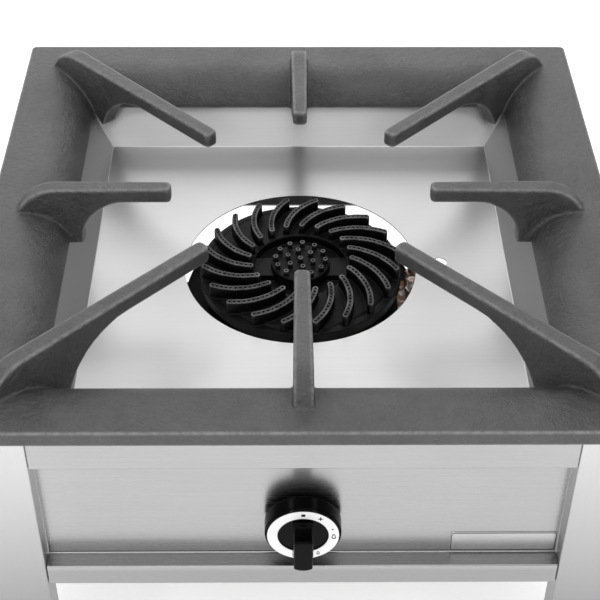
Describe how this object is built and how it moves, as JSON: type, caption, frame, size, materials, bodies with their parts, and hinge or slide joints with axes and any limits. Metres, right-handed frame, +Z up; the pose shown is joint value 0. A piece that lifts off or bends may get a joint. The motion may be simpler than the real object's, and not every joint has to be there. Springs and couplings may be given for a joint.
{
  "type": "gas stock-pot burner",
  "caption": "Low square gas stock-pot burner: cast-iron pan support with radial prongs, stainless spill tray and body, spiral-armed burner head, push-and-turn control knob.",
  "frame": {"origin": "on the floor, under the centre of the pan support and of the whole assembly", "axes": "+Z up; -Y towards the user, the side with the control knob; +X to the user's right"},
  "size_m": [0.58, 0.631, 0.4],
  "materials": {
    "cast_iron_dark": "sand-cast, dark grey, worn paler on the edges",
    "burner_iron": "black enamelled casting, port faces rubbed grey",
    "stainless_tray": "fine brushed",
    "stainless_body": "fine brushed, grain along the width",
    "galvanised_steel": "galvanised, dull",
    "black_phenolic": "gloss black",
    "dial_white": "satin silver-white",
    "brass": "machined",
    "turned_steel": "turned",
    "copper_tube": "drawn, heat-tinted",
    "zinc_screws": "zinc plated",
    "foot_plastic": "black moulded"
  },
  "bodies": {
    "body": {"burner_bowl": "burner_iron", "mixer_tube": "burner_iron", "front_rail": "stainless_body", "control_panel": "stainless_body", "left_panel": "stainless_body", "right_panel": "stainless_body", "back_panel": "stainless_body", "front_right_post": "stainless_body", "front_left_post": "stainless_body", "back_right_post": "stainless_body", "back_left_post": "stainless_body", "name_plate": "stainless_body", "top_frame": "galvanised_steel", "front_crossbar": "galvanised_steel", "back_crossbar": "galvanised_steel", "tap_bracket": "galvanised_steel", "pilot_bracket": "galvanised_steel", "post_end_plates": "galvanised_steel", "injector": "brass", "injector_holder": "brass", "tap_body": "brass", "tap_bonnet": "brass", "pipe_nut": "brass", "pilot_burner": "brass", "magnet_unit": "brass", "tap_spring": "turned_steel", "gas_inlet": "turned_steel", "inlet_locknut": "turned_steel", "gas_pipe": "turned_steel", "thermocouple": "copper_tube", "thermocouple_lead": "copper_tube", "pilot_tube": "copper_tube", "bonnet_screws": "zinc_screws", "bowl_screws": "zinc_screws", "crossbar_screws": "zinc_screws", "mixer_screws": "zinc_screws", "bracket_screws": "zinc_screws", "pilot_bracket_screw": "zinc_screws"},
    "tray": {"spill_tray": "stainless_tray"},
    "pan_support": {"pan_support": "cast_iron_dark"},
    "burner_head": {"burner_head": "burner_iron", "centre_insert": "burner_iron"},
    "push_rod": {"push_rod": "turned_steel"},
    "knob": {"knob": "black_phenolic", "dial_ring": "dial_white", "tap_spindle": "turned_steel"},
    "tap_plug": {"tap_plug": "brass"},
    "air_shutter": {"air_shutter": "galvanised_steel"},
    "front_right_foot": {"front_right_foot": "foot_plastic"},
    "front_left_foot": {"front_left_foot": "foot_plastic"},
    "back_right_foot": {"back_right_foot": "foot_plastic"},
    "back_left_foot": {"back_left_foot": "foot_plastic"}
  },
  "joints": [
    {"name": "tray_lift", "type": "slide", "parent": "body", "child": "tray", "axis": [0, 0, 1], "range_m": [0, 0.08]},
    {"name": "pan_support_lift", "type": "slide", "parent": "tray", "child": "pan_support", "axis": [0, 0, 1], "range_m": [0, 0.08]},
    {"name": "burner_head_lift", "type": "slide", "parent": "body", "child": "burner_head", "axis": [0, 0, 1], "range_m": [0, 0.06]},
    {"name": "knob_push", "type": "slide", "parent": "body", "child": "push_rod", "axis": [0, 1, 0], "range_m": [0, 0.004], "stiffness_N_per_m": 600, "springref_m": -0.008},
    {"name": "knob_turn", "type": "hinge", "parent": "push_rod", "child": "knob", "pos_m": [0, -0.292, 0.2535], "axis": [0, -1, 0], "range_deg": [0, 150]},
    {"name": "plug_turn", "type": "hinge", "parent": "body", "child": "tap_plug", "pos_m": [0, -0.234, 0.2535], "axis": [0, -1, 0], "range_deg": [0, 150]},
    {"name": "air_shutter_slide", "type": "slide", "parent": "body", "child": "air_shutter", "axis": [0, -1, 0], "range_m": [-0.003, 0.003]},
    {"name": "front_right_foot_screw", "type": "slide", "parent": "body", "child": "front_right_foot", "axis": [0, 0, -1], "range_m": [0, 0.02]},
    {"name": "front_left_foot_screw", "type": "slide", "parent": "body", "child": "front_left_foot", "axis": [0, 0, -1], "range_m": [0, 0.02]},
    {"name": "back_right_foot_screw", "type": "slide", "parent": "body", "child": "back_right_foot", "axis": [0, 0, -1], "range_m": [0, 0.02]},
    {"name": "back_left_foot_screw", "type": "slide", "parent": "body", "child": "back_left_foot", "axis": [0, 0, -1], "range_m": [0, 0.02]}
  ],
  "couplings": [
    {"joint": "plug_turn", "follows": "knob_turn", "ratio": 1}
  ]
}
